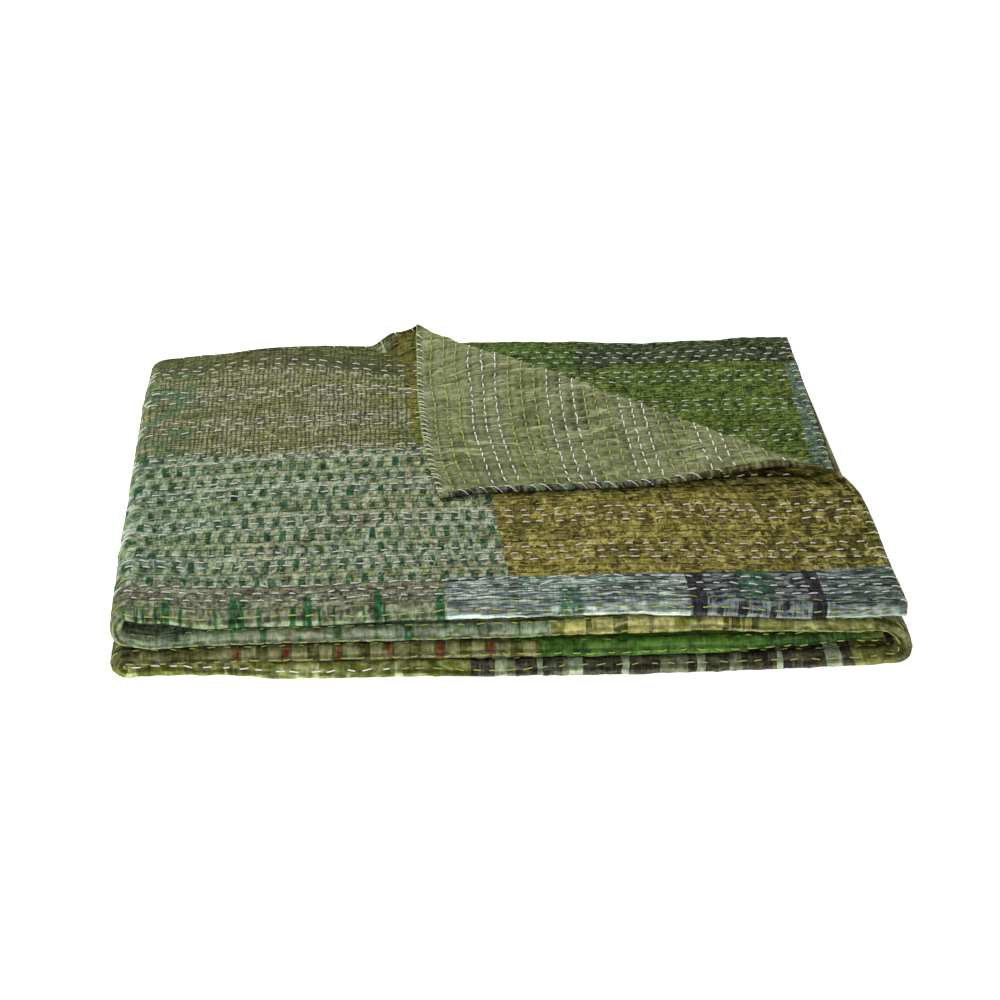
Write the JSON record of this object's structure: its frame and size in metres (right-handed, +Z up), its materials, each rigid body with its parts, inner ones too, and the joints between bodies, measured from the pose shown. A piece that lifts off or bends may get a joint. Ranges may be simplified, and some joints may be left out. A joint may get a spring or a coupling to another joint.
{
  "type": "folded quilt",
  "caption": "Hand-stitched cotton patchwork quilt folded in thirds and then in quarters into a flat pile, with one corner of its top ply turned back.",
  "frame": {"origin": "centre of the footprint, on the surface that the folded quilt lies on", "axes": "+X to the right along the long front edge, +Y to the back, +Z up out of the pile"},
  "size_m": [0.4694, 0.4122, 0.0651],
  "materials": {
    "quilted_cotton": "stitched layers of soft matte cotton"
  },
  "bodies": {
    "root": {"quilt": "quilted_cotton"}
  },
  "joints": []
}
